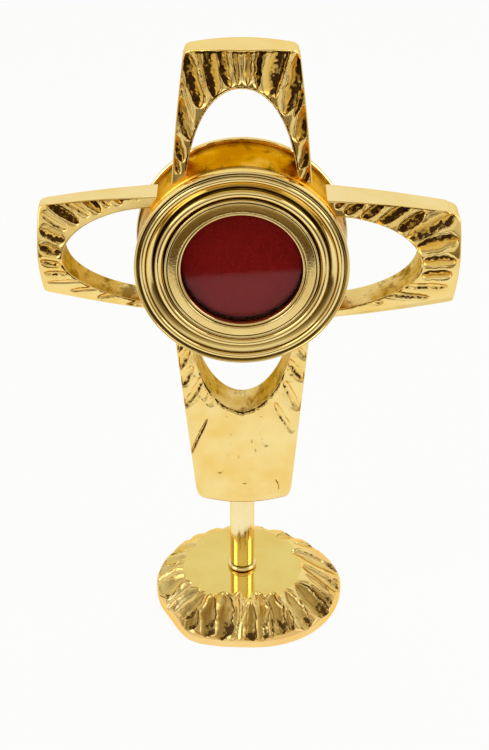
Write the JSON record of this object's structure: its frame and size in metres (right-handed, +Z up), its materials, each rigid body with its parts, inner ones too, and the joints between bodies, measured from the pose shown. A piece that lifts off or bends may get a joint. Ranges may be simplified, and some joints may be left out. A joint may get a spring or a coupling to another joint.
{
  "type": "cross reliquary",
  "caption": "Standing gilt brass cross reliquary with pierced and gouged arms, a moulded round window over a velvet bed, a hinged back door and a small scalloped foot.",
  "frame": {"origin": "on the floor under the middle of the cross's width and of the foot's depth", "axes": "+Z up along the stem, the window faces -Y, +X to the right seen from the front"},
  "size_m": [0.1288, 0.0612, 0.1976],
  "materials": {
    "gilt_brass": "polished gilt casting with darkened gouges",
    "gilt_matt": "brushed gilt inside faces",
    "steel": "zinc plated",
    "glass": "clear flat glass",
    "velvet": "dark red velvet"
  },
  "bodies": {
    "frame": {"base": "gilt_brass", "base_washer": "steel", "base_nut": "steel", "tie_rod": "steel", "stem_collar": "gilt_brass", "stem_tube": "gilt_brass", "cross_body": "gilt_brass", "front_ring": "gilt_brass", "ring_screw_1": "steel", "ring_screw_2": "steel", "ring_screw_3": "steel", "glass": "glass", "glass_retainer": "gilt_matt", "relic_capsule": "gilt_matt", "relic_cushion": "velvet", "capsule_clip": "steel", "hinge_pin": "steel"},
    "door": {"back_door": "gilt_brass"},
    "catch": {"catch_knob": "gilt_brass", "catch_tongue": "gilt_matt", "catch_screw": "steel"}
  },
  "joints": [
    {"name": "door_hinge", "type": "hinge", "parent": "frame", "child": "door", "pos_m": [-0.00215, 0.01139, 0.0966], "axis": [-1, 0, 0], "range_deg": [0, 170]},
    {"name": "catch_turn", "type": "hinge", "parent": "door", "child": "catch", "pos_m": [-0.00215, 0.01274, 0.1565], "axis": [0, -1, 0], "range_deg": [0, 90]}
  ]
}
